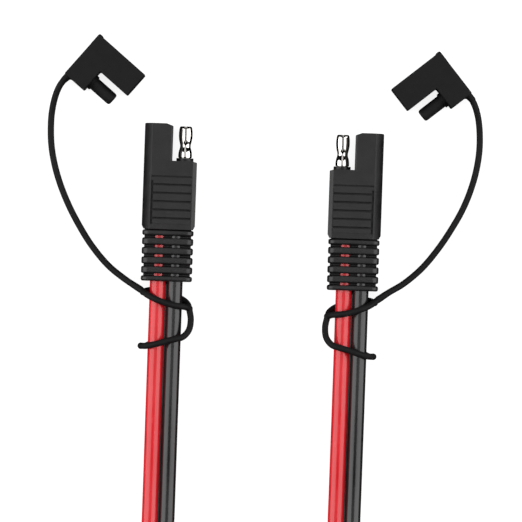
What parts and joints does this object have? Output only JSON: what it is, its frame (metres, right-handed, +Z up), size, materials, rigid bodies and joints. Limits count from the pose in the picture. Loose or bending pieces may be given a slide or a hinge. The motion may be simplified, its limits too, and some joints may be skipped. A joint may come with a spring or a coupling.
{
  "type": "solar cable connector lead",
  "caption": "Short two-core solar and battery lead with a moulded polarised bullet connector at each end, each with a tethered rubber dust cap.",
  "frame": {"origin": "on the table, under the middle of the box round both connectors, caps and rings", "axes": "+Z up from the table; +Y towards the mating ends; +X from end a to end b"},
  "size_m": [0.1351, 0.1883, 0.01],
  "materials": {
    "moulded_pvc": "satin moulded",
    "carrier_plastic": "semi-gloss moulded",
    "cap_rubber": "matte moulded",
    "red_pvc": "extruded, soft gloss",
    "black_pvc": "extruded, soft gloss",
    "nickel_plated_brass": "bright plated",
    "copper_strands": "bright drawn copper"
  },
  "bodies": {
    "lead": {"overmould_a": "moulded_pvc", "strain_relief_a": "moulded_pvc", "terminal_carrier_a": "carrier_plastic", "male_pin_a": "nickel_plated_brass", "female_socket_a": "nickel_plated_brass", "red_strands_a": "copper_strands", "black_strands_a": "copper_strands", "overmould_b": "moulded_pvc", "strain_relief_b": "moulded_pvc", "terminal_carrier_b": "carrier_plastic", "male_pin_b": "nickel_plated_brass", "female_socket_b": "nickel_plated_brass", "red_strands_b": "copper_strands", "black_strands_b": "copper_strands", "red_core": "red_pvc", "black_core": "black_pvc"},
    "ring_a": {"retaining_ring_a": "cap_rubber", "tether_a": "cap_rubber"},
    "cap_a": {"dust_cap_a": "cap_rubber"},
    "ring_b": {"retaining_ring_b": "cap_rubber", "tether_b": "cap_rubber"},
    "cap_b": {"dust_cap_b": "cap_rubber"}
  },
  "joints": [
    {"name": "ring_a_slide", "type": "slide", "parent": "lead", "child": "ring_a", "axis": [-0.0349, -0.9994, 0], "range_m": [0, 0.0125]},
    {"name": "cap_a_swing", "type": "hinge", "parent": "ring_a", "child": "cap_a", "pos_m": [-0.04375, 0.01248, 0.0047], "axis": [0, 0, 1], "range_deg": [-50.4, 12], "deforming": ["tether_a"]},
    {"name": "ring_b_slide", "type": "slide", "parent": "lead", "child": "ring_b", "axis": [-0.0349, -0.9994, 0], "range_m": [0, 0.0125]},
    {"name": "cap_b_swing", "type": "hinge", "parent": "ring_b", "child": "cap_b", "pos_m": [0.04059, 0.00693, 0.0047], "axis": [0, 0, 1], "range_deg": [-12, 50.35], "deforming": ["tether_b"]}
  ]
}
